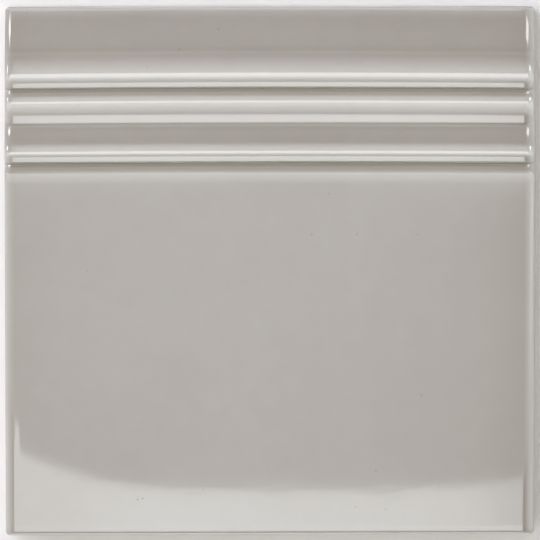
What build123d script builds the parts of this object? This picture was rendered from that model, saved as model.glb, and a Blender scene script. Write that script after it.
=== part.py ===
# Moulded skirting tile: one pressed and fired piece, glazed on its face and edges.
# It lies on its back: +Z is the face, +Y the top edge, and X runs along the wall.
# The origin is the middle of the back. Sizes are in millimetres, slopes in degrees.

import math
import os

from build123d import *

# Overall size, and the thickness of the top edge that meets the wall tiles above.
tile_width = 152.0
tile_height = 152.0
top_thickness = 7.5

# The moulding is read from the top edge down. A slope is the angle of the surface to the
# back, positive where the moulding steps forward and negative where it falls back.
top_slope = 29.0

# Long swell under the top edge, ending in a faint crease.
swell_radius = 72.0
swell_foot_slope = 17.6
swell_crease_radius = 1.8

# Upper bead: a long back, a round crest and a quick front that ends in a lip.
upper_bead_slope = 16.4
upper_bead_back_radius = 32.0
upper_bead_back_slope = 5.8
upper_bead_crest_radius = 19.6
upper_bead_crest_slope = -2.1
upper_bead_front_radius = 3.8
upper_bead_front_slope = -22.0
upper_lip_slope = -45.0

# Lip and narrow quirk under each bead.
lip_radius = 1.6
quirk_radius = 0.2

# Ovolo: a tight brow, a short step, a shoulder, a long front that is almost flat, a soft nose.
ovolo_slope = 29.9
ovolo_brow_radius = 6.2
ovolo_brow_slope = 8.3
ovolo_step_radius = 26.0
ovolo_step_slope = 6.0
ovolo_shoulder_radius = 9.6
ovolo_shoulder_slope = 2.9
ovolo_front_radius = 47.0
ovolo_front_slope = -0.9
ovolo_nose_radius = 14.0
ovolo_nose_slope = -3.8

# Listel that leans back under the ovolo, down to a sharp crease.
listel_radius = 51.5
listel_slope = -5.9
listel_crease_radius = 0.4

# Lower bead: it rises steeply out of the crease, turns over a hip and ends in a lip too.
lower_bead_slope = 30.0
lower_bead_back_radius = 22.3
lower_bead_back_slope = 14.6
lower_bead_hip_radius = 10.5
lower_bead_hip_slope = 8.2
lower_bead_step_radius = 33.0
lower_bead_step_slope = 6.2
lower_bead_crest_radius = 11.0
lower_bead_crest_slope = -1.75
lower_bead_front_radius = 4.1
lower_bead_front_slope = -22.0
lower_lip_slope = -48.0

# Shoulder of the plain face below the moulding, a slight turn, then easing into the flat.
shoulder_slope = 25.2
shoulder_radius = 9.9
shoulder_foot_slope = 9.2
face_turn_radius = 1.8
face_slope = 1.8
easing_radius = 92.0

# Round corners of the outline, and the soft arris that the glaze runs over.
corner_radius = 1.8
arris_radius = 1.4

# Pressed key on the back: shallow square pockets between ribs, inside a plain border.
key_count = 6
key_pitch = 23.0
key_size = 17.0
key_depth = 1.2
key_corner_radius = 2.0
key_draft = 30.0

# Each stretch of the moulding: its radius, and the slope that it hands on at its lower end.
moulding = (
    (swell_radius, swell_foot_slope),
    (swell_crease_radius, upper_bead_slope),
    (upper_bead_back_radius, upper_bead_back_slope),
    (upper_bead_crest_radius, upper_bead_crest_slope),
    (upper_bead_front_radius, upper_bead_front_slope),
    (lip_radius, upper_lip_slope),
    (quirk_radius, ovolo_slope),
    (ovolo_brow_radius, ovolo_brow_slope),
    (ovolo_step_radius, ovolo_step_slope),
    (ovolo_shoulder_radius, ovolo_shoulder_slope),
    (ovolo_front_radius, ovolo_front_slope),
    (ovolo_nose_radius, ovolo_nose_slope),
    (listel_radius, listel_slope),
    (listel_crease_radius, lower_bead_slope),
    (lower_bead_back_radius, lower_bead_back_slope),
    (lower_bead_hip_radius, lower_bead_hip_slope),
    (lower_bead_step_radius, lower_bead_step_slope),
    (lower_bead_crest_radius, lower_bead_crest_slope),
    (lower_bead_front_radius, lower_bead_front_slope),
    (lip_radius, lower_lip_slope),
    (quirk_radius, shoulder_slope),
    (shoulder_radius, shoulder_foot_slope),
    (face_turn_radius, face_slope),
    (easing_radius, 0.0),
)

top_y = tile_height / 2
foot_y = -tile_height / 2

with BuildPart() as skirting_tile:
    # The section is drawn once, as tangent arcs from the top edge down to the plain face.
    with BuildSketch(Plane.YZ):
        with BuildLine():
            top_edge = Line((top_y, 0), (top_y, top_thickness))
            joint = top_edge @ 1
            slope = top_slope
            heading = (-math.cos(math.radians(slope)), math.sin(math.radians(slope)))
            for radius, end_slope in moulding:
                stretch = JernArc(joint, heading, radius, slope - end_slope)
                joint = stretch @ 1
                heading = stretch % 1
                slope = end_slope
            face_thickness = joint.Y
            plain_face = Line(joint, (foot_y, face_thickness))
            foot_edge = Line(plain_face @ 1, (foot_y, 0))
            back = Line(foot_edge @ 1, top_edge @ 0)
        make_face()
    extrude(amount=tile_width / 2, both=True)

    # The four upright corners, then the arris all round the face.
    fillet(skirting_tile.edges().filter_by(Axis.Z), radius=corner_radius)
    sides = skirting_tile.faces().filter_by(lambda side: abs(side.normal_at().Z) < 1e-6)
    side_edges = sides.edges().filter_by(Axis.Z, reverse=True)
    rim = side_edges.filter_by_position(Axis.Z, 0, face_thickness, inclusive=(False, True))
    fillet(rim, radius=arris_radius)

    # Pockets pressed into the back, their sides drawn in so that the die comes away.
    with BuildSketch(Plane.XY):
        with GridLocations(key_pitch, key_pitch, key_count, key_count):
            RectangleRounded(key_size, key_size, key_corner_radius)
    extrude(amount=key_depth, taper=key_draft, mode=Mode.SUBTRACT)

skirting_tile.part.label = "skirting_tile"

os.makedirs("parts", exist_ok=True)
export_step(skirting_tile.part, "parts/skirting_tile.step")
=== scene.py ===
import logging
import math
from dataclasses import dataclass, field
from enum import Enum

import bmesh
import bpy
import numpy as np
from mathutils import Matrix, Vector


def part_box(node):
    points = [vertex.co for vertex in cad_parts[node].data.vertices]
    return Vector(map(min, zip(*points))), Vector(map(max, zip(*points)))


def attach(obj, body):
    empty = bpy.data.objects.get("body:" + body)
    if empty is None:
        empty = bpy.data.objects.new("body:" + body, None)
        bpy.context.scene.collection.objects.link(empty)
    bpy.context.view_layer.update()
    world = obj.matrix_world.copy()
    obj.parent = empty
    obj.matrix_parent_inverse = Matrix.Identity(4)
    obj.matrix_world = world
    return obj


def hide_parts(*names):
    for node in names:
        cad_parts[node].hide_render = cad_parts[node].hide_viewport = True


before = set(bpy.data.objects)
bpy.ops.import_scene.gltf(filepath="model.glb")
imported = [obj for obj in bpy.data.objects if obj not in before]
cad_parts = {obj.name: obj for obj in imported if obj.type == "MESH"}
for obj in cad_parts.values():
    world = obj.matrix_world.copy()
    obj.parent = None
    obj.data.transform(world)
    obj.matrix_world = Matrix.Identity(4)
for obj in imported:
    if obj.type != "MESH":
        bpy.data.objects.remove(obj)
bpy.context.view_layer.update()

# The tile lies on its back: +Z is the face, +Y the top edge, and X runs along the wall.
# Sizes of the tile are in millimetres and slopes in degrees. Meshes are in metres.
MM = 0.001
NODE = "skirting_tile"
BODY = "root"

# Lip and narrow quirk under each bead, in millimetres.
LIP_RADIUS = 1.6
QUIRK_RADIUS = 0.2

Colour = tuple[float, float, float, float]

log = logging.getLogger("skirting_tile")


class Layer(Enum):
    """Which finish a face of the tile takes, as its material index."""

    GLAZE = 0
    BISCUIT = 1


class Trait(Enum):
    """What a mesh tells its material at each vertex, as attribute names."""

    # Pooled glaze and painted shade in the hollows and along the top edge.
    POOL_AND_SHADE = "glaze_pooled"
    # Thin glaze and painted highlight on edges and on the crease.
    THIN_AND_HIGHLIGHT = "glaze_thinned"
    GLOW = "panel_glow"


@dataclass(frozen=True)
class Trace:
    """Points down the section, from the top edge to the foot edge.

    Attributes:
        reach: Distance from the top edge, in millimetres.
        level: Height over the back, in millimetres.
        bend: Curvature per millimetre, positive in hollows.
    """

    reach: np.ndarray
    level: np.ndarray
    bend: np.ndarray


@dataclass(frozen=True)
class Stretch:
    """One arc of the moulded section.

    Attributes:
        name: What the arc is.
        radius: Its radius, in millimetres.
        end_slope: The slope that it hands on at its lower end, in degrees.
    """

    name: str
    radius: float
    end_slope: float


@dataclass
class Moulding:
    """The moulded section, drawn as tangent arcs from the top edge down to the plain face."""

    top_thickness: float = 7.5
    top_slope: float = 29.0
    stretches: tuple[Stretch, ...] = (
        Stretch("swell", 72.0, 17.6),
        Stretch("swell crease", 1.8, 16.4),
        Stretch("upper bead back", 32.0, 5.8),
        Stretch("upper bead crest", 19.6, -2.1),
        Stretch("upper bead front", 3.8, -22.0),
        Stretch("upper lip", LIP_RADIUS, -45.0),
        Stretch("upper quirk", QUIRK_RADIUS, 29.9),
        Stretch("ovolo brow", 6.2, 8.3),
        Stretch("ovolo step", 26.0, 6.0),
        Stretch("ovolo shoulder", 9.6, 2.9),
        Stretch("ovolo front", 47.0, -0.9),
        Stretch("ovolo nose", 14.0, -3.8),
        Stretch("listel", 51.5, -5.9),
        Stretch("listel crease", 0.4, 30.0),
        Stretch("lower bead back", 22.3, 14.6),
        Stretch("lower bead hip", 10.5, 8.2),
        Stretch("lower bead step", 33.0, 6.2),
        Stretch("lower bead crest", 11.0, -1.75),
        Stretch("lower bead front", 4.1, -22.0),
        Stretch("lower lip", LIP_RADIUS, -48.0),
        Stretch("lower quirk", QUIRK_RADIUS, 25.2),
        Stretch("shoulder", 9.9, 9.2),
        Stretch("face turn", 0.5, 1.8),
        Stretch("easing", 92.0, 0.0),
    )
    longest_step: float = 0.3
    sharpest_turn: float = 4.0
    joint_step: float = 0.04
    joint_share: float = 0.3
    fewest_steps: int = 2

    def trace(self, height: float) -> Trace:
        """Walks down the section.

        Args:
            height: The tile's height, in millimetres.

        Returns:
            The points of the moulding, and one more at the foot of the plain face.
        """
        reach, level, bend = [0.0], [self.top_thickness], [0.0]
        slope = math.radians(self.top_slope)
        for stretch in self.stretches:
            radius = stretch.radius
            end = math.radians(stretch.end_slope)
            turn = end - slope
            steps = math.ceil(max(abs(turn) * radius / self.longest_step,
                                  abs(math.degrees(turn)) / self.sharpest_turn, self.fewest_steps))
            side = math.copysign(radius, turn)
            start_reach = reach[-1]
            start_level = level[-1]
            joint = min(self.joint_step / (abs(turn) * radius), self.joint_share / steps)
            shares = [joint, *(k / steps for k in range(1, steps)), 1 - joint, 1.0]
            for share in shares:
                angle = slope + turn * share
                reach.append(start_reach + side * (math.sin(angle) - math.sin(slope)))
                level.append(start_level + side * (math.cos(slope) - math.cos(angle)))
                bend.append(1 / side)
            log.info("%s: ends %.2f mm down", stretch.name, reach[-1])
            slope = end
        reach.append(height)
        level.append(level[-1])
        bend.append(0.0)
        return Trace(np.array(reach), np.array(level), np.array(bend))


@dataclass(frozen=True)
class Arris:
    """A rounded edge of the face.

    Attributes:
        width: How far it reaches in from the edge.
        drop: How far it falls from the face to the edge.
        pale: How pale the edge is painted, for thin glaze and a painted highlight there.
        start: Share of its width, from the face, at which it begins to turn pale.
        steep_shade: How much less pale it is where the moulding steps forward, a painted shade.
        steps: Lines over its turn.
    """

    width: float
    drop: float
    pale: float
    start: float = 0.0
    steep_shade: float = 0.0
    steps: int = 12

    def offsets(self) -> np.ndarray:
        """Distances in from the edge at which the arris has lines, evenly turned."""
        return self.width * (1 - np.cos(np.linspace(0, math.pi / 2, self.steps + 1)))


@dataclass
class KeyedBack:
    """Shallow square pockets pressed into the back, in a grid inside a plain border."""

    count: int = 6
    pitch: float = 23.0
    size: float = 17.0
    depth: float = 1.2
    corner_radius: float = 2.0
    draft: float = 30.0
    softness: float = 0.25
    ease_share: float = 0.3
    least_radius: float = 0.4
    corner_steps: int = 5

    def centres(self) -> list[tuple[float, float]]:
        """Middles of the pockets, row by row."""
        places = [(k - (self.count - 1) / 2) * self.pitch for k in range(self.count)]
        return [(x, y) for y in places for x in places]

    def profile(self) -> list[tuple[float, float]]:
        """Works out the rings that run down a pocket's side, its edges softened.

        Returns:
            Inset and depth of each ring, from the mouth down.
        """
        run = self.depth * math.tan(math.radians(self.draft))
        soft = self.softness
        ease = soft * self.ease_share
        lip = soft * run / self.depth
        return [
            (0.0, 0.0),
            (soft / 2 + lip / 2, ease),
            (soft / 2 + lip, soft),
            (soft / 2 + run - lip, self.depth - soft),
            (soft / 2 + run, self.depth - ease),
            (soft + run, self.depth),
        ]

    def outline(self, centre: tuple[float, float], inset: float) -> list[tuple[float, float]]:
        """Walks round a pocket.

        Args:
            centre: The pocket's middle, in millimetres.
            inset: How far the ring lies inside the pocket's mouth.

        Returns:
            Points of a square with round corners, anticlockwise.
        """
        radius = max(self.corner_radius - inset, self.least_radius)
        arm = self.size / 2 - inset - radius
        points = []
        for quarter in range(4):
            turned = math.radians(90 * quarter)
            hub = math.sqrt(2) * arm
            hub_angle = turned + math.pi / 4
            hub_x = centre[0] + hub * math.cos(hub_angle)
            hub_y = centre[1] + hub * math.sin(hub_angle)
            for k in range(self.corner_steps + 1):
                angle = turned + math.pi / 2 * k / self.corner_steps
                points.append((hub_x + radius * math.cos(angle), hub_y + radius * math.sin(angle)))
        return points


@dataclass(frozen=True)
class Warp:
    """What drying and firing did to the pressed shape, in millimetres."""

    bow: float = 0.45
    bow_middle: float = 8.0
    bow_end: float = 60.0
    foot_lift: float = 0.4
    left_droop: float = 0.30
    right_droop: float = 0.07
    droop_power: float = 4.2
    ripple: float = 0.0006
    ripple_lengths: tuple[float, ...] = (31.0, 19.0, 43.0)
    ripple_phases: tuple[float, float] = (0.7, 2.1)

    def apply(self, points: np.ndarray, half_width: float, half_height: float,
              face: float) -> np.ndarray:
        """Moves points of the pressed shape to where the kiln left them.

        Args:
            points: Rows of x, y and z in millimetres.
            half_width: Half of the tile's width.
            half_height: Half of the tile's height.
            face: The plain face's height over the back.

        Returns:
            The moved points.
        """
        x, y, z = points.T
        across = (x - self.bow_middle) / half_width
        fade = np.clip((y + half_height) / (half_height + self.bow_end), 0, 1)
        bowed = self.bow * across ** 2 * fade ** 2
        lifted = self.foot_lift * (x / half_width + 1) / 2 * (1 - fade)
        droop = np.where(x < 0, self.left_droop, self.right_droop)
        low = np.clip(-y / half_height, 0, 1)
        drooped = droop * np.abs(x / half_width) ** self.droop_power * low ** 2
        first, second, third = (2 * math.pi / length for length in self.ripple_lengths)
        across_phase, slant_phase = self.ripple_phases
        crossed = np.sin(first * x + across_phase) * np.sin(second * y)
        waves = crossed + np.sin(third * (x + y) + slant_phase)
        moved = (drooped + self.ripple * (2 - waves)) * np.clip(z / face, 0, 1)
        return np.stack([x, y - bowed + lifted, z - moved], axis=1)


class ShaderGraph:
    """A node tree under construction."""

    def __init__(self, tree: bpy.types.NodeTree) -> None:
        """Keeps the tree, and clears it."""
        self.tree = tree
        self.tree.nodes.clear()

    def add(self, kind: str, inputs: dict[str, object] | None = None,
            **settings: object) -> bpy.types.Node:
        """Adds a node.

        Args:
            kind: The node's type name.
            inputs: Values or sockets for its inputs, by the input's name.
            **settings: Properties of the node itself.

        Returns:
            The new node.
        """
        node = self.tree.nodes.new(kind)
        for name, value in settings.items():
            setattr(node, name, value)
        for name, value in (inputs or {}).items():
            self.feed(node.inputs[name], value)
        return node

    def feed(self, target: bpy.types.NodeSocket, value: object) -> None:
        """Links a socket to an input, or sets a plain value on it.

        Args:
            target: The input.
            value: A socket, or a plain value.
        """
        if isinstance(value, bpy.types.NodeSocket):
            self.tree.links.new(value, target)
        else:
            target.default_value = value

    def math(self, operation: str, first: object, second: object = 0.0) -> bpy.types.NodeSocket:
        """Adds a Math node.

        Args:
            operation: The node's operation.
            first: Its first input, a value or a socket.
            second: Its second input, a value or a socket.

        Returns:
            The result's socket.
        """
        node = self.add("ShaderNodeMath", operation=operation)
        self.feed(node.inputs[0], first)
        self.feed(node.inputs[1], second)
        return node.outputs[0]

    def ramp(self, value: object, low: float, high: float, start: float = 0.0,
             end: float = 1.0) -> bpy.types.NodeSocket:
        """Maps a range of a value smoothly onto another.

        Args:
            value: What is mapped, a socket.
            low: The value that gives start.
            high: The value that gives end.
            start: The result at low.
            end: The result at high.

        Returns:
            The result's socket.
        """
        node = self.add(
            "ShaderNodeMapRange",
            {"Value": value, "From Min": low, "From Max": high, "To Min": start, "To Max": end},
            interpolation_type="SMOOTHSTEP",
        )
        return node.outputs["Result"]

    def mix(self, share: object, first: object, second: object) -> bpy.types.NodeSocket:
        """Mixes two colours.

        Args:
            share: How much of the second there is.
            first: The first colour, a value or a socket.
            second: The second colour, a value or a socket.

        Returns:
            The mixed colour's socket.
        """
        node = self.add("ShaderNodeMix", data_type="RGBA")
        # The node has sockets of the same names for other kinds of data, so these go by place.
        self.feed(node.inputs[0], share)
        self.feed(node.inputs[6], first)
        self.feed(node.inputs[7], second)
        return node.outputs[2]

    def noise(self, place: object, scale: object, detail: float) -> bpy.types.NodeSocket:
        """Adds a noise texture and gives its value."""
        node = self.add("ShaderNodeTexNoise", {"Vector": place, "Scale": scale, "Detail": detail})
        return node.outputs["Fac"]


def new_material(name: str) -> tuple[bpy.types.Material, ShaderGraph]:
    """Makes a material with no nodes yet.

    Args:
        name: The material's name.

    Returns:
        The material, and its nodes to be built.
    """
    made = bpy.data.materials.new(name)
    made.use_nodes = True
    return made, ShaderGraph(made.node_tree)


def place_mesh(name: str, shape: bmesh.types.BMesh) -> bpy.types.Object:
    """Turns a finished shape into an object in the scene.

    Args:
        name: The object's name.
        shape: The shape, which is freed.

    Returns:
        The object.
    """
    mesh = bpy.data.meshes.new(name)
    shape.to_mesh(mesh)
    shape.free()
    made = bpy.data.objects.new(name, mesh)
    bpy.context.scene.collection.objects.link(made)
    return made


def add_quad(shape: bmesh.types.BMesh, corners: list[bmesh.types.BMVert], layer: Layer) -> None:
    """Adds a smooth face.

    Args:
        shape: The mesh.
        corners: The face's vertices in order.
        layer: The finish that it takes.
    """
    quad = shape.faces.new(corners)
    quad.smooth = True
    quad.material_index = layer.value


@dataclass
class FiredEffects:
    """Node groups for what the kiln does, which glaze and biscuit both use."""

    broad_detail: float = 2.0
    fine_detail: float = 4.0
    fine_times: float = 6.3
    fine_share: float = 0.35
    cloud_low: float = 0.3
    cloud_high: float = 0.7
    speck_edge: float = 0.6

    def __post_init__(self) -> None:
        """Builds each group once."""
        self.mottle = self._mottle()
        self.specks = self._specks()

    @staticmethod
    def _group(name: str, inputs: dict[str, str], outputs: dict[str, str]) -> bpy.types.NodeTree:
        """Makes an empty group with its sockets.

        Args:
            name: The group's name.
            inputs: Socket type of each input, by name.
            outputs: Socket type of each output, by name.

        Returns:
            The group.
        """
        group = bpy.data.node_groups.new(name, "ShaderNodeTree")
        for socket, kind in inputs.items():
            group.interface.new_socket(socket, in_out="INPUT", socket_type=kind)
        for socket, kind in outputs.items():
            group.interface.new_socket(socket, in_out="OUTPUT", socket_type=kind)
        return group

    def _mottle(self) -> bpy.types.NodeTree:
        """Builds soft clouds of two colours, as an uneven firing leaves them.

        Returns:
            The group, which gives the colour.
        """
        group = self._group(
            "fired_mottle",
            {"Position": "NodeSocketVector", "Scale": "NodeSocketFloat",
             "Light": "NodeSocketColor", "Dark": "NodeSocketColor"},
            {"Color": "NodeSocketColor"},
        )
        graph = ShaderGraph(group)
        given = graph.add("NodeGroupInput")
        broad = graph.noise(given.outputs["Position"], given.outputs["Scale"], self.broad_detail)
        fine_scale = graph.math("MULTIPLY", given.outputs["Scale"], self.fine_times)
        fine = graph.noise(given.outputs["Position"], fine_scale, self.fine_detail)
        broad_part = graph.math("MULTIPLY", broad, 1 - self.fine_share)
        fine_part = graph.math("MULTIPLY", fine, self.fine_share)
        cloud = graph.math("ADD", broad_part, fine_part)
        share = graph.ramp(cloud, self.cloud_low, self.cloud_high)
        colour = graph.mix(share, given.outputs["Light"], given.outputs["Dark"])
        graph.add("NodeGroupOutput", {"Color": colour})
        return group

    def _specks(self) -> bpy.types.NodeTree:
        """Builds sparse round specks of iron or grog in the clay.

        Returns:
            The group, which gives the mask of the specks.
        """
        group = self._group(
            "fired_specks",
            {"Position": "NodeSocketVector", "Scale": "NodeSocketFloat", "Radius": "NodeSocketFloat",
             "Share": "NodeSocketFloat"},
            {"Mask": "NodeSocketFloat"},
        )
        graph = ShaderGraph(group)
        given = graph.add("NodeGroupInput")
        cells = graph.add("ShaderNodeTexVoronoi",
                          {"Vector": given.outputs["Position"], "Scale": given.outputs["Scale"]})
        chosen = graph.math("LESS_THAN", cells.outputs["Color"], given.outputs["Share"])
        inside = graph.math("SUBTRACT", 1.0,
                            graph.math("DIVIDE", cells.outputs["Distance"], given.outputs["Radius"]))
        mask = graph.math("MULTIPLY", chosen, graph.ramp(inside, 0.0, self.speck_edge))
        graph.add("NodeGroupOutput", {"Mask": mask})
        return group


@dataclass(frozen=True)
class BiscuitFinish:
    """Bare fired clay, as the back shows it."""

    name: str = "fired_biscuit"
    light: Colour = (0.70, 0.64, 0.55, 1.0)
    dark: Colour = (0.60, 0.53, 0.44, 1.0)
    grog: Colour = (0.30, 0.22, 0.16, 1.0)
    roughness: float = 0.86
    cloud_scale: float = 45.0
    speck_scale: float = 420.0
    speck_radius: float = 0.3
    speck_share: float = 0.35
    speck_strength: float = 0.5
    grain_scale: float = 1500.0
    grain_detail: float = 5.0
    grain_strength: float = 0.7
    grain_height: float = 0.00008

    def material(self, effects: FiredEffects) -> bpy.types.Material:
        """Builds the material.

        Args:
            effects: The shared node groups.

        Returns:
            The material.
        """
        made, graph = new_material(self.name)
        place = graph.add("ShaderNodeTexCoord").outputs["Object"]
        cloud = graph.add("ShaderNodeGroup", {
            "Position": place, "Scale": self.cloud_scale, "Light": self.light, "Dark": self.dark},
            node_tree=effects.mottle)
        specks = graph.add("ShaderNodeGroup", {
            "Position": place, "Scale": self.speck_scale, "Radius": self.speck_radius,
            "Share": self.speck_share}, node_tree=effects.specks)
        speckled = graph.math("MULTIPLY", specks.outputs["Mask"], self.speck_strength)
        colour = graph.mix(speckled, cloud.outputs["Color"], self.grog)
        grain = graph.noise(place, self.grain_scale, self.grain_detail)
        bump = graph.add("ShaderNodeBump", {
            "Strength": self.grain_strength, "Distance": self.grain_height, "Height": grain})
        shader = graph.add("ShaderNodeBsdfPrincipled", {
            "Base Color": colour, "Roughness": self.roughness, "Normal": bump.outputs["Normal"]})
        graph.add("ShaderNodeOutputMaterial", {"Surface": shader.outputs["BSDF"]})
        return made


@dataclass(frozen=True)
class GlazeFinish:
    """Glossy warm grey glaze: darker where it pools, with painted shade in the hollows, and paler where
    it runs thin over an edge, with painted highlights there.
    """

    name: str = "warm_grey_glaze"
    light: Colour = (0.358, 0.326, 0.293, 1.0)
    dark: Colour = (0.339, 0.307, 0.275, 1.0)
    # Colours for pooled glaze and for the deepest hollows, which also carry painted shade.
    pool_and_shade: Colour = (0.252, 0.222, 0.175, 1.0)
    deep_shade: Colour = (0.184, 0.155, 0.113, 1.0)
    # Pale colour for thin glaze, which also carries painted highlights on the edges and the crease.
    thin_and_highlight: Colour = (0.61, 0.59, 0.56, 1.0)
    pit: Colour = (0.10, 0.085, 0.07, 1.0)
    roughness: float = 0.025
    deep_roughness: float = 0.5
    deep_start: float = 0.8
    ior: float = 1.65
    cloud_scale: float = 28.0
    speck_scale: float = 190.0
    speck_radius: float = 0.07
    speck_share: float = 0.3
    speck_strength: float = 0.35
    peel_scale: float = 330.0
    peel_detail: float = 1.0
    peel_height: float = 0.0000012
    bare_height: float = 1.6
    bare_wander: float = 1.2
    bare_scale: float = 90.0
    bare_detail: float = 3.0
    bare_range: tuple[float, float] = (0.25, 0.75)
    bare_edge: float = 0.12
    pinholes: tuple[tuple[float, float], ...] = ((-38.0, -65.5), (-36.6, -65.2))
    pinhole_radius: float = 0.32
    pinhole_core: float = 0.4
    pinhole_strength: float = 0.75

    def material(self, effects: FiredEffects, biscuit: BiscuitFinish) -> bpy.types.Material:
        """Builds the material.

        Args:
            effects: The shared node groups.
            biscuit: The clay that shows below the glaze's lower edge.

        Returns:
            The material.
        """
        made, graph = new_material(self.name)
        place = graph.add("ShaderNodeTexCoord").outputs["Object"]
        cloud = graph.add("ShaderNodeGroup", {
            "Position": place, "Scale": self.cloud_scale, "Light": self.light, "Dark": self.dark},
            node_tree=effects.mottle)
        pool_and_shade = graph.add("ShaderNodeAttribute", attribute_name=Trait.POOL_AND_SHADE.value).outputs["Fac"]
        thin_and_highlight = graph.add("ShaderNodeAttribute", attribute_name=Trait.THIN_AND_HIGHLIGHT.value).outputs["Fac"]
        # Painted shade in the hollows, over the crease and along the top edge, over partly real pooled
        # glaze; the mix also darkens a band inside each end.
        colour = graph.mix(pool_and_shade, cloud.outputs["Color"], self.pool_and_shade)
        # Painted shade in the deepest hollows, whose walls hide the reflections, over glaze that pools
        # thicker there.
        deep_shade = graph.ramp(pool_and_shade, self.deep_start, 1.0)
        colour = graph.mix(deep_shade, colour, self.deep_shade)
        # Painted highlight on the rounded edges and the crease, over partly real thin glaze.
        colour = graph.mix(thin_and_highlight, colour, self.thin_and_highlight)
        specks = graph.add("ShaderNodeGroup", {
            "Position": place, "Scale": self.speck_scale, "Radius": self.speck_radius,
            "Share": self.speck_share}, node_tree=effects.specks)
        speckled = graph.math("MULTIPLY", specks.outputs["Mask"], self.speck_strength)
        colour = graph.mix(speckled, colour, self.pit)
        holes = self._pinholes(graph, place)
        colour = graph.mix(holes, colour, self.pit)
        bare = self._bare_clay(graph, place)
        colour = graph.mix(bare, colour, biscuit.light)
        dull = graph.ramp(deep_shade, 0.0, 1.0, self.roughness, self.deep_roughness)
        chalky = graph.ramp(bare, 0.0, 1.0, self.roughness, biscuit.roughness)
        roughness = graph.math("MAXIMUM", dull, chalky)
        peel = graph.noise(place, self.peel_scale, self.peel_detail)
        bump = graph.add("ShaderNodeBump", {
            "Strength": 1.0, "Distance": self.peel_height, "Height": peel})
        shader = graph.add("ShaderNodeBsdfPrincipled", {
            "Base Color": colour, "Roughness": roughness, "IOR": self.ior,
            "Normal": bump.outputs["Normal"]})
        graph.add("ShaderNodeOutputMaterial", {"Surface": shader.outputs["BSDF"]})
        return made

    def _pinholes(self, graph: ShaderGraph, place: bpy.types.NodeSocket) -> bpy.types.NodeSocket:
        """Masks the few pinholes that burst in the glaze near the foot.

        Args:
            graph: The material's nodes.
            place: The socket of the surface's position.

        Returns:
            The mask's socket.
        """
        flat = graph.add("ShaderNodeVectorMath", operation="MULTIPLY")
        graph.feed(flat.inputs[0], place)
        graph.feed(flat.inputs[1], (1.0, 1.0, 0.0))
        mask: object = 0.0
        for x, y in self.pinholes:
            gap = graph.add("ShaderNodeVectorMath", operation="DISTANCE")
            graph.feed(gap.inputs[0], flat.outputs["Vector"])
            graph.feed(gap.inputs[1], (x * MM, y * MM, 0.0))
            radius = self.pinhole_radius * MM
            hole = graph.ramp(gap.outputs["Value"], radius * self.pinhole_core, radius,
                              self.pinhole_strength, 0.0)
            mask = graph.math("MAXIMUM", hole, mask)
        return mask

    def _bare_clay(self, graph: ShaderGraph, place: bpy.types.NodeSocket) -> bpy.types.NodeSocket:
        """Masks the wandering strip of bare clay along the foot of each side.

        Args:
            graph: The material's nodes.
            place: The socket of the surface's position.

        Returns:
            The mask's socket.
        """
        height = graph.add("ShaderNodeSeparateXYZ", {"Vector": place}).outputs["Z"]
        wander = graph.noise(place, self.bare_scale, self.bare_detail)
        line = graph.ramp(wander, *self.bare_range, self.bare_height * MM,
                          (self.bare_height + self.bare_wander) * MM)
        above = graph.math("SUBTRACT", height, line)
        edge = self.bare_edge * MM
        return graph.ramp(above, -edge, edge, 1.0, 0.0)


@dataclass(frozen=True)
class GlazeFlow:
    """How the glaze ran before it set, with lengths in millimetres.

    Attributes:
        reach_above: How far pooled glaze and painted shade reach up from the middle of a hollow.
        reach_below: How far it reaches down.
        quirk_steps: Steps to a quirk's radius in which hollows are looked for.
        window: Steps to either side over which a hollow is felt.
        hollow_start: Bend at which pooled glaze and painted shade begin.
        hollow_gain: How fast it fills from there.
        edge_gain: How fast a pale edge keeps pooled glaze and painted shade off.
        bend_gain: How fast the glaze thins over a round.
        bend_most: The most that it thins there.
        crease_line: Distance of the swell's crease from the top edge.
        crease_highlight: How bright the painted highlight on the crease is.
        crease_breadth: How broad that line is.
        shade_dark: How dark the painted shade over the crease is.
        shade_lift: How far over it.
        shade_breadth: How broad that line is.
        top_shadow_start: Distance from the middle at which the painted shadow line along the top edge
            begins.
        top_shadow_length: Distance in which it comes to its full depth.
        top_shadow_breadth: How broad it is.
        left_darkening: Share and length of the darkening inside the left arris.
        right_darkening: Share and length of the darkening inside the right arris.
        darkening_rise: How far it climbs onto the arris.
        side_thinned: How pale the sides are, where the glaze runs thinner.
    """

    reach_above: float = 0.5
    reach_below: float = 0.95
    quirk_steps: int = 4
    window: int = 48
    hollow_start: float = 0.2
    hollow_gain: float = 3.2
    edge_gain: float = 1.6
    bend_gain: float = 0.25
    bend_most: float = 0.4
    crease_line: float = 13.2
    crease_highlight: float = 0.08
    crease_breadth: float = 0.35
    shade_dark: float = 0.16
    shade_lift: float = 1.0
    shade_breadth: float = 0.7
    top_shadow_start: float = 25.0
    top_shadow_length: float = 40.0
    top_shadow_breadth: float = 0.2
    left_darkening: tuple[float, float] = (0.17, 6.0)
    right_darkening: tuple[float, float] = (0.28, 14.0)
    darkening_rise: float = 1.5
    side_thinned: float = 0.85


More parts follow.
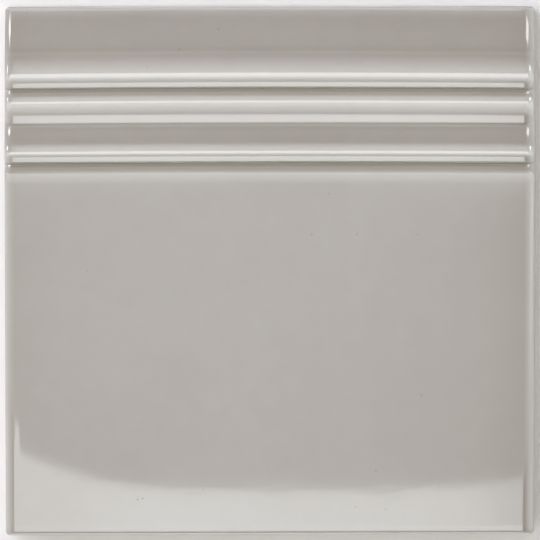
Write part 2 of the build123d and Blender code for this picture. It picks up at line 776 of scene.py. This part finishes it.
@dataclass
class SkirtingTile:
    """The whole tile: moulded face, rounded edges, sides and keyed back, in one closed mesh."""

    low: Vector
    high: Vector
    moulding: Moulding = field(default_factory=Moulding)
    key: KeyedBack = field(default_factory=KeyedBack)
    warp: Warp = field(default_factory=Warp)
    flow: GlazeFlow = field(default_factory=GlazeFlow)
    left_arris: Arris = Arris(width=2.8, drop=1.5, pale=0.78, steep_shade=2.0)
    right_arris: Arris = Arris(width=3.3, drop=1.5, pale=1.35)
    top_arris: Arris = Arris(width=1.0, drop=1.0, pale=1.4)
    foot_arris: Arris = Arris(width=2.6, drop=1.3, pale=2.0, start=0.55)
    corner_radius: float = 1.0
    line_spacing: float = 2.2
    back_ease: float = 0.4
    ease_turns: tuple[float, ...] = (30.0, 60.0, 90.0)
    side_rings: int = 4
    sharp_angle: float = 38.0
    slope_step: float = 0.2
    slope_window: int = 20
    slope_blur: float = 1.6
    slope_most: float = 0.45
    name: str = "glazed_tile"

    def __post_init__(self) -> None:
        """Reads the outline from the CAD box and walks down the section once."""
        self.half_width = (self.high.x - self.low.x) / 2 / MM
        self.half_height = (self.high.y - self.low.y) / 2 / MM
        self.section = self.moulding.trace(2 * self.half_height)
        self.face = float(self.section.level[-1])

    def _lines_across(self) -> np.ndarray:
        """Spaces out the lines that run down the face.

        Returns:
            Their distances from the left end.
        """
        width = 2 * self.half_width
        left = self.left_arris.offsets()
        right = width - self.right_arris.offsets()[::-1]
        span = right[0] - left[-1]
        middle = np.linspace(left[-1], right[0], math.ceil(span / self.line_spacing) + 1)
        return np.concatenate([left[:-1], middle, right[1:]])

    def _lines_down(self) -> np.ndarray:
        """Spaces out the lines that run across the face, close where the section turns.

        Returns:
            Their distances from the top edge.
        """
        height = 2 * self.half_height
        top = self.top_arris.offsets()
        foot = height - self.foot_arris.offsets()[::-1]
        curved = self.section.reach[1:-1]
        curved = curved[curved > top[-1] + self.moulding.longest_step / 3]
        span = foot[0] - curved[-1]
        plain = np.linspace(curved[-1], foot[0], math.ceil(span / self.line_spacing) + 1)
        return np.concatenate([top, curved, plain[1:-1], foot])

    def _steepness(self, reach: np.ndarray) -> np.ndarray:
        """Works out how steeply the moulding steps forward, evened out down the section.

        Args:
            reach: Distance of each point from the top edge.

        Returns:
            The slope at each point, from 0 to the most that counts.
        """
        fine = np.arange(0, 2 * self.half_height, self.slope_step)
        rise = np.gradient(np.interp(fine, self.section.reach, self.section.level), fine)
        steps = np.arange(-self.slope_window, self.slope_window + 1) * self.slope_step
        blur = np.exp(-(steps / self.slope_blur) ** 2)
        padded = np.pad(rise, self.slope_window, mode="edge")
        rise = np.convolve(padded, blur / blur.sum(), mode="valid")
        return np.clip(np.interp(reach, fine, rise), 0, self.slope_most)

    def _face_lattice(self) -> tuple[np.ndarray, np.ndarray, np.ndarray]:
        """Lays the lines over the face and turns them down over its edges.

        Returns:
            The points as rows by columns of x, y and z, how pale each is painted near the edge for thin
            glaze and painted highlight, and the distance of each from the top edge.
        """
        across, down = np.meshgrid(self._lines_across(), self._lines_down())
        from_left, from_right = across, 2 * self.half_width - across
        from_top, from_foot = down, 2 * self.half_height - down
        # Round corners: the square patch at each corner is pressed into a quarter of a disc.
        end = np.clip(1 - np.minimum(from_left, from_right) / self.corner_radius, 0, 1)
        edge = np.clip(1 - np.minimum(from_top, from_foot) / self.corner_radius, 0, 1)
        pull_in = end * (1 - np.sqrt(1 - edge ** 2 / 2)) * self.corner_radius
        pull_on = edge * (1 - np.sqrt(1 - end ** 2 / 2)) * self.corner_radius
        x = across - self.half_width + np.where(from_left < from_right, pull_in, -pull_in)
        reach = down + np.where(from_top < from_foot, pull_on, -pull_on)
        level = np.interp(reach, self.section.reach, self.section.level)
        # The steepness sets the painted shade that dims an arris's paleness where the moulding steps
        # forward.
        steep = self._steepness(reach)
        over = np.zeros(across.shape)
        for arris, gap in ((self.left_arris, from_left), (self.right_arris, from_right),
                           (self.top_arris, from_top), (self.foot_arris, from_foot)):
            share = np.clip(1 - gap / arris.width, 0, 1)
            level = level - arris.drop * (1 - np.sqrt(1 - share ** 2))
            thin_highlight = np.clip((share - arris.start) / (1 - arris.start), 0, 1)
            # Painted highlight along each rounded edge, over partly real thin glaze.
            over = np.maximum(over, arris.pale * thin_highlight ** 2 * (1 - arris.steep_shade * steep))
        return np.stack([x, self.half_height - reach, level], axis=-1), over, reach

    def _glaze_flow(self, over: np.ndarray, reach: np.ndarray,
                    along: np.ndarray) -> tuple[np.ndarray, np.ndarray]:
        """Works out where the glaze pooled in the hollows and where it ran thin, and where shade and
        highlight are painted on.

        Args:
            over: How pale each point is painted near the edge, for thin glaze and painted highlight.
            reach: Distance of each point from the top edge.
            along: Place of each point along the tile, from its middle.

        Returns:
            The share of pooled glaze and painted shade, and the share of thin glaze and painted
            highlight, of each point.
        """
        flow = self.flow
        step = QUIRK_RADIUS / flow.quirk_steps
        fine = np.arange(0, 2 * self.half_height, step)
        bend = np.interp(fine, self.section.reach, self.section.bend)
        steps = np.arange(-flow.window, flow.window + 1) * step
        window = np.exp(-(steps / np.where(steps > 0, flow.reach_below, flow.reach_above)) ** 2)
        spread = np.convolve(bend, window / window.sum(), mode="same")
        here = np.interp(reach, fine, spread)
        below = reach - flow.crease_line
        # Painted highlight along the swell's crease, and painted shade just over it.
        crease = flow.crease_highlight * np.exp(-(below / flow.crease_breadth) ** 2)
        shade = flow.shade_dark * np.exp(-((below + flow.shade_lift) / flow.shade_breadth) ** 2)
        # Painted shadow line along the top edge, deepening towards both ends.
        top_shadow = np.clip((np.abs(along) - flow.top_shadow_start) / flow.top_shadow_length, 0, 1)
        top_shadow = top_shadow * np.exp(-(reach / flow.top_shadow_breadth) ** 2)
        inner = np.clip(1 - flow.edge_gain * over, 0, 1)
        hollow = np.clip(flow.hollow_gain * (here - flow.hollow_start), 0, 1)
        # Painted shade in the hollows over partly real pooled glaze, plus the painted shade over the
        # crease and the painted shadow line along the top edge.
        pool_and_shade = hollow * inner + shade + top_shadow
        # Darker towards each end, in a band inside the end's arris.
        for arris, gap, (share, length) in (
            (self.left_arris, self.half_width + along, flow.left_darkening),
            (self.right_arris, self.half_width - along, flow.right_darkening),
        ):
            inside = gap - arris.width
            climb = np.clip(1 + inside / flow.darkening_rise, 0, 1)
            pool_and_shade = pool_and_shade + share * climb * np.exp(-np.maximum(inside, 0) / length)
        rounded = np.clip(-flow.bend_gain * here, 0, flow.bend_most)
        # Thin glaze over rounds, with the painted highlights on the crease and the edges; the painted
        # shadow line along the top edge takes them away.
        thin_and_highlight = (rounded + crease + over) * (1 - top_shadow)
        return np.clip(pool_and_shade, 0, 1), np.clip(thin_and_highlight, 0, 1)

    @staticmethod
    def _rim(rows: int, columns: int) -> list[int]:
        """Walks round the border of the face's lattice.

        Args:
            rows: How many lines run across.
            columns: How many points each has.

        Returns:
            The points' indices, clockwise from the top left, seen from the front.
        """
        lattice = np.arange(rows * columns).reshape(rows, columns)
        border = [lattice[0, :-1], lattice[:-1, -1], lattice[-1, :0:-1], lattice[:0:-1, 0]]
        return [int(k) for k in np.concatenate(border)]

    def _side_rings(self, rim: np.ndarray) -> list[np.ndarray]:
        """Rings of points that run down the sides and ease round onto the back.

        Args:
            rim: The border of the face, as rows of x, y and z.

        Returns:
            The rings from the face down, the last one on the back.
        """
        rings = []
        for k in range(1, self.side_rings + 1):
            ring = rim.copy()
            ring[:, 2] = rim[:, 2] + (self.back_ease - rim[:, 2]) * k / self.side_rings
            rings.append(ring)
        for turn in self.ease_turns:
            inset = self.back_ease * (1 - math.cos(math.radians(turn)))
            ring = rim.copy()
            ring[:, 0] *= 1 - inset / self.half_width
            ring[:, 1] *= 1 - inset / self.half_height
            ring[:, 2] = self.back_ease * (1 - math.sin(math.radians(turn)))
            rings.append(ring)
        return rings

    def build(self) -> bpy.types.Object:
        """Builds the closed mesh.

        Returns:
            The tile, linked into the scene.
        """
        lattice, over, reach = self._face_lattice()
        rows, columns = over.shape
        pool_and_shade, thin_and_highlight = self._glaze_flow(over, reach, lattice[..., 0])
        face_points = lattice.reshape(-1, 3)
        rim = self._rim(rows, columns)
        rings = self._side_rings(face_points[rim])
        points = self._warped(np.concatenate([face_points, *rings]))
        side_points = len(rings) * len(rim)
        thin_and_highlight = np.concatenate([thin_and_highlight.ravel(), np.full(side_points, self.flow.side_thinned)])
        pool_and_shade = np.concatenate([pool_and_shade.ravel(), np.zeros(side_points)])

        shape = bmesh.new()
        pool_shade_layer = shape.verts.layers.float.new(Trait.POOL_AND_SHADE.value)
        thin_highlight_layer = shape.verts.layers.float.new(Trait.THIN_AND_HIGHLIGHT.value)
        for point, pool_shade, thin_highlight in zip(points * MM, pool_and_shade, thin_and_highlight):
            vertex = shape.verts.new(point)
            vertex[pool_shade_layer] = pool_shade
            vertex[thin_highlight_layer] = thin_highlight
        shape.verts.ensure_lookup_table()
        self._face_quads(shape, rows, columns)
        back_edge = self._side_quads(shape, rim, len(face_points))
        self._back(shape, back_edge)
        tile = place_mesh(self.name, shape)
        tile.data.set_sharp_from_angle(angle=math.radians(self.sharp_angle))
        return tile

    def _warped(self, points: np.ndarray) -> np.ndarray:
        """Points in millimetres, moved as the firing moved the tile."""
        return self.warp.apply(points, self.half_width, self.half_height, self.face)

    @staticmethod
    def _face_quads(shape: bmesh.types.BMesh, rows: int, columns: int) -> None:
        """Fills the face's lattice.

        Args:
            shape: The mesh, which starts with the lattice's points.
            rows: How many lines run across.
            columns: How many points each has.
        """
        for row in range(rows - 1):
            for column in range(columns - 1):
                first = row * columns + column
                corners = (first, first + columns, first + columns + 1, first + 1)
                add_quad(shape, [shape.verts[k] for k in corners], Layer.GLAZE)

    @staticmethod
    def _side_quads(shape: bmesh.types.BMesh, rim: list[int],
                    start: int) -> list[bmesh.types.BMVert]:
        """Fills the bands down the sides.

        Args:
            shape: The mesh.
            rim: Indices of the face's border.
            start: Index of the first ring's first point.

        Returns:
            The last ring's vertices, which lie on the back.
        """
        count = len(rim)
        upper = [shape.verts[k] for k in rim]
        while start < len(shape.verts):
            lower = [shape.verts[start + k] for k in range(count)]
            for k in range(count):
                after = (k + 1) % count
                add_quad(shape, [upper[k], upper[after], lower[after], lower[k]], Layer.GLAZE)
            upper = lower
            start += count
        return upper

    def _back(self, shape: bmesh.types.BMesh, back_edge: list[bmesh.types.BMVert]) -> None:
        """Closes the back: the pockets first, then the flat between them and the edge.

        Args:
            shape: The mesh.
            back_edge: The ring that the sides end on.
        """
        border = self._ring_edges(shape, back_edge)
        for centre in self.key.centres():
            mouth = self._pocket(shape, centre)
            border += self._ring_edges(shape, mouth)
        filled = bmesh.ops.triangle_fill(shape, use_beauty=True, use_dissolve=False, edges=border,
                                         normal=(0, 0, -1))
        for piece in filled["geom"]:
            if isinstance(piece, bmesh.types.BMFace):
                piece.material_index = Layer.BISCUIT.value

    def _pocket(self, shape: bmesh.types.BMesh,
                centre: tuple[float, float]) -> list[bmesh.types.BMVert]:
        """Sinks one pocket into the back.

        Args:
            shape: The mesh.
            centre: The pocket's middle, in millimetres.

        Returns:
            The vertices of the pocket's mouth.
        """
        mouth: list[bmesh.types.BMVert] = []
        upper: list[bmesh.types.BMVert] = []
        for inset, depth in self.key.profile():
            ring = np.array([(x, y, 0.0) for x, y in self.key.outline(centre, inset)])
            ring = self._warped(ring)
            ring[:, 2] = depth
            lower = [shape.verts.new(point) for point in ring * MM]
            for k in range(len(upper)):
                after = (k + 1) % len(upper)
                add_quad(shape, [upper[k], lower[k], lower[after], upper[after]], Layer.BISCUIT)
            mouth = mouth or lower
            upper = lower
        floor = shape.faces.new(upper[::-1])
        floor.material_index = Layer.BISCUIT.value
        return mouth

    @staticmethod
    def _ring_edges(shape: bmesh.types.BMesh,
                    ring: list[bmesh.types.BMVert]) -> list[bmesh.types.BMEdge]:
        """Edges of a closed ring of vertices."""
        return [shape.edges.get((first, second)) or shape.edges.new((first, second))
                for first, second in zip(ring, ring[1:] + ring[:1])]

    def dress(self, tile: bpy.types.Object, glaze: bpy.types.Material,
              biscuit: bpy.types.Material) -> None:
        """Gives the tile its finishes and hangs it on the frame.

        Args:
            tile: The tile's object.
            glaze: The finish of the face and the sides.
            biscuit: The finish of the back.
        """
        tile.data.materials.append(glaze)
        tile.data.materials.append(biscuit)
        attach(tile, BODY)
        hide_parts(NODE)


@dataclass(frozen=True)
class LightPanel:
    """A large soft panel far above the tile and bent round it, which only the glaze mirrors.

    Attributes:
        name: The panel's name.
        levels: Angle from straight up, positive towards the top edge, and brightness there.
        sides: Angle along the tile, positive to the right, and share of the brightness there.
        tint: The colour of its light, cool as daylight is.
        distance: How far off the panel is, in metres.
    """

    name: str
    levels: tuple[tuple[float, float], ...]
    sides: tuple[tuple[float, float], ...]
    tint: Colour = (0.96, 1.0, 1.02, 1.0)
    distance: float = 12.0

    def build(self) -> bpy.types.Object:
        """Builds the panel as a strip of quads whose brightness is on its vertices.

        Returns:
            The panel, which neither the camera nor a matt surface sees.
        """
        shape = bmesh.new()
        glow = shape.verts.layers.float.new(Trait.GLOW.value)
        before: list[bmesh.types.BMVert] = []
        for lean, level in self.levels:
            rise = Vector((0, math.sin(math.radians(lean)), math.cos(math.radians(lean))))
            row = []
            for turn, share in self.sides:
                aside = Vector((math.tan(math.radians(turn)), 0, 0))
                vertex = shape.verts.new((rise + aside) * self.distance)
                vertex[glow] = level * share
                row.append(vertex)
            for k in range(len(before) - 1):
                shape.faces.new((before[k], before[k + 1], row[k + 1], row[k]))
            before = row
        panel = place_mesh(self.name, shape)
        panel.data.materials.append(self._glow_material())
        panel.visible_camera = False
        panel.visible_shadow = False
        panel.visible_diffuse = False
        return panel

    def _glow_material(self) -> bpy.types.Material:
        """Builds a light of its own, as bright as each vertex says.

        Returns:
            The material.
        """
        made, graph = new_material(self.name)
        level = graph.add("ShaderNodeAttribute", attribute_name=Trait.GLOW.value).outputs["Fac"]
        glow = graph.add("ShaderNodeEmission", {"Color": self.tint, "Strength": level})
        graph.add("ShaderNodeOutputMaterial", {"Surface": glow.outputs["Emission"]})
        return made


@dataclass(frozen=True)
class KeyLight:
    """A square lamp over the tile or to one side of it.

    Attributes:
        name: The lamp's name.
        azimuth: Direction round the tile, in degrees from +X towards +Y.
        elevation: Height over the table, in degrees.
        share: The light that it brings to the face, where 1 renders a colour as it is written.
        size: The lamp's side, in metres.
        mirrored: Whether the glaze shows the lamp as a highlight.
        tint: The colour of its light.
        distance: How far off it is, in metres.
    """

    name: str
    azimuth: float
    elevation: float
    share: float
    size: float
    mirrored: bool = True
    tint: tuple[float, float, float] = (1.0, 1.0, 1.0)
    distance: float = 3.0

    def build(self) -> bpy.types.Object:
        """Builds the lamp, turned towards the tile.

        Returns:
            The lamp, linked into the scene.
        """
        turn = math.radians(self.azimuth)
        lift = math.radians(self.elevation)
        flat = math.cos(lift)
        way = Vector((math.cos(turn) * flat, math.sin(turn) * flat, math.sin(lift)))
        data = bpy.data.lights.new(self.name, "AREA")
        data.shape = "SQUARE"
        data.size = self.size
        data.color = self.tint
        data.energy = self.share * (math.pi * self.distance) ** 2 / math.sin(lift)
        lamp = bpy.data.objects.new(self.name, data)
        lamp.visible_glossy = self.mirrored
        lamp.location = way * self.distance
        lamp.rotation_mode = "QUATERNION"
        lamp.rotation_quaternion = (-way).to_track_quat("-Z", "Y")
        bpy.context.scene.collection.objects.link(lamp)
        return lamp


# What hangs over the tile, from its foot to its top: angle from straight up and brightness.
FOOT_LEVELS = ((-89.0, 4.5), (-73.0, 4.5), (-71.0, 0.1), (-49.5, 0.1), (-48.0, 5.2), (-20.0, 5.5),
               (-12.0, 5.8), (-9.5, 5.1))
TOE_LEVELS = ((-9.5, 5.2), (-7.13, 5.2), (-7.07, 1.68))
PLAIN_LEVELS = ((-7.07, 1.68), (-6.1, 1.88), (-5.0, 2.0), (-4.2, 1.96), (-3.6, 2.1))
FACE_LEVELS = ((-3.6, 2.1), (-2.5, 3.0), (-1.2, 3.55), (-0.3, 3.8), (1.2, 5.3), (3.0, 5.4))
BEAD_LEVELS = ((3.0, 5.4), (3.2, 7.8), (9.3, 7.8), (9.5, 4.2))
HEAD_LEVELS = ((9.5, 4.2), (13.0, 3.5), (16.5, 2.6), (22.5, 1.3), (27.5, 0.25), (31.0, 0.1),
               (36.0, 0.25), (41.0, 0.38), (46.0, 0.25), (50.0, 0.1))


@dataclass
class Studio:
    """The white table, the lamps and the camera."""

    face: float
    floor_size: float = 16.0
    floor_gap: float = 0.00002
    floor_colour: Colour = (0.86, 0.835, 0.835, 1.0)
    fill: float = 0.05
    camera_distance: float = 1.56
    camera_tilt: float = 4.5
    view_width: float = 0.1546
    aim: tuple[float, float] = (0.0, 0.00063)
    panels: tuple[LightPanel, ...] = (
        LightPanel("foot_panel", FOOT_LEVELS, (
            (-11.5, 0.2), (-10.2, 0.85), (-3.1, 0.92), (-1.4, 1.0), (1.6, 1.0), (2.9, 0.93), (4.6, 0.9),
            (5.4, 0.06))),
        LightPanel("toe_panel", TOE_LEVELS, (
            (-11.5, 0.2), (-10.2, 0.8), (-3.1, 0.87), (-2.3, 0.96), (-1.4, 1.0), (1.6, 0.97),
            (2.5, 0.89), (2.75, 0.83), (2.95, 0.73), (3.2, 0.69), (4.6, 0.69), (5.4, 0.05))),
        LightPanel("toe_wing", ((-7.2, 4.6), (-6.72, 4.6)), (
            (-6.5, 0.8), (-5.5, 1.0), (-4.39, 1.0)), distance=11.8),
        LightPanel("plain_panel", PLAIN_LEVELS, (
            (-31.0, 0.8), (-6.0, 0.9), (-3.1, 0.87), (-1.3, 0.95), (-0.5, 1.0), (0.8, 1.0), (1.6, 0.93),
            (2.6, 0.88), (2.75, 0.8), (2.95, 0.69), (3.3, 0.65), (5.0, 0.75), (9.0, 0.85), (31.0, 0.9))),
        LightPanel("face_panel", FACE_LEVELS, (
            (-70.0, 0.75), (-15.0, 0.85), (-3.0, 0.97), (2.0, 1.0), (6.0, 0.95), (70.0, 0.9))),
        LightPanel("bead_panel", BEAD_LEVELS, (
            (-70.0, 0.38), (-32.0, 0.38), (-27.5, 1.0), (20.5, 1.0), (23.5, 0.48), (70.0, 0.48))),
        LightPanel("head_panel", HEAD_LEVELS, (
            (-70.0, 0.1), (-35.0, 0.15), (-24.0, 0.45), (-14.0, 0.6), (-8.0, 0.9), (-3.0, 1.0),
            (6.0, 0.95), (14.0, 0.75), (70.0, 0.65))),
        LightPanel("top_panel", ((50.0, 0.1), (54.0, 1.2), (57.0, 2.3), (62.0, 3.6), (82.0, 3.8)), (
            (-22.0, 0.4), (-18.5, 1.0), (3.5, 1.0), (6.0, 0.4))),
        LightPanel("side_panel", ((-7.8, 1.5), (-7.4, 3.0), (-3.4, 3.0), (-3.0, 1.5)), (
            (32.0, 0.5), (37.0, 1.0), (72.0, 1.0), (75.0, 0.5))),
        LightPanel("foot_wing", ((-50.0, 1.5), (-7.2, 1.5)), (
            (4.5, 0.06), (15.0, 0.06), (26.0, 0.8), (34.0, 1.0), (70.0, 1.0)), distance=13.0),
    )
    keys: tuple[KeyLight, ...] = (
        KeyLight("overhead", azimuth=194.0, elevation=73.0, share=0.94, size=4.0, mirrored=False,
                 tint=(1.0, 1.0, 0.93)),
        KeyLight("left_glow", azimuth=128.0, elevation=35.0, share=0.185, size=2.0, mirrored=False,
                 tint=(0.95, 1.0, 1.32)),
        KeyLight("right_glow", azimuth=315.0, elevation=45.0, share=0.05, size=1.5, mirrored=False),
        KeyLight("left_key", azimuth=131.0, elevation=32.5, share=0.07, size=0.6),
        KeyLight("left_fill", azimuth=167.0, elevation=31.0, share=0.05, size=0.32),
        KeyLight("right_key", azimuth=64.0, elevation=41.0, share=0.06, size=0.6),
        KeyLight("right_fill", azimuth=22.0, elevation=52.0, share=0.04, size=0.36),
    )

    def build(self) -> None:
        """Builds the table, the lamps, the world and the camera."""
        self._floor()
        self._world()
        for light in (*self.panels, *self.keys):
            log.info("%s: %.1f m off", light.build().name, light.distance)
        self._camera()

    def _floor(self) -> None:
        """Lays the white table under the tile's back."""
        half = self.floor_size / 2
        mesh = bpy.data.meshes.new("white_table")
        corners = [(-half, -half, 0), (half, -half, 0), (half, half, 0), (-half, half, 0)]
        mesh.from_pydata(corners, [], [(0, 1, 2, 3)])
        made, graph = new_material("white_table")
        shader = graph.add("ShaderNodeBsdfDiffuse", {"Color": self.floor_colour})
        graph.add("ShaderNodeOutputMaterial", {"Surface": shader.outputs["BSDF"]})
        mesh.materials.append(made)
        table = bpy.data.objects.new("white_table", mesh)
        table.location.z = -self.floor_gap
        bpy.context.scene.collection.objects.link(table)

    def _world(self) -> None:
        """A white surround for what is seen and mirrored, and a dim one for what it lights."""
        world = bpy.data.worlds.new("white_surround")
        world.use_nodes = True
        graph = ShaderGraph(world.node_tree)
        path = graph.add("ShaderNodeLightPath")
        seen = graph.math("MAXIMUM", path.outputs["Is Camera Ray"], path.outputs["Is Glossy Ray"])
        seen = graph.math("MAXIMUM", seen, path.outputs["Is Transmission Ray"])
        strength = graph.ramp(seen, 0.0, 1.0, self.fill, 1.0)
        surround = graph.add("ShaderNodeBackground", {"Strength": strength})
        graph.add("ShaderNodeOutputWorld", {"Surface": surround.outputs["Background"]})
        bpy.context.scene.world = world

    def _camera(self) -> None:
        """Hangs the camera over the tile, leant a little towards its top edge."""
        tilt = math.radians(self.camera_tilt)
        target = Vector((self.aim[0], self.aim[1], self.face * MM))
        way = Vector((0, math.sin(tilt), math.cos(tilt)))
        data = bpy.data.cameras.new("photo_camera")
        data.lens = data.sensor_width * self.camera_distance / self.view_width
        camera = bpy.data.objects.new("photo_camera", data)
        camera.location = target + way * self.camera_distance
        camera.rotation_euler = (-tilt, 0, 0)
        bpy.context.scene.collection.objects.link(camera)
        bpy.context.scene.camera = camera


def main() -> None:
    """Builds the tile, dresses it and sets the studio up around it."""
    logging.basicConfig(level=logging.INFO)
    bpy.context.scene.view_settings.view_transform = "Standard"
    effects = FiredEffects()
    biscuit = BiscuitFinish()
    glaze = GlazeFinish()
    tile = SkirtingTile(*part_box(NODE))
    piece = tile.build()
    tile.dress(piece, glaze.material(effects, biscuit), biscuit.material(effects))
    faces = len(piece.data.polygons)
    log.info("%s: %d faces, face %.2f mm over the back", piece.name, faces, tile.face)
    Studio(face=tile.face).build()


if __name__ == "__main__":
    main()
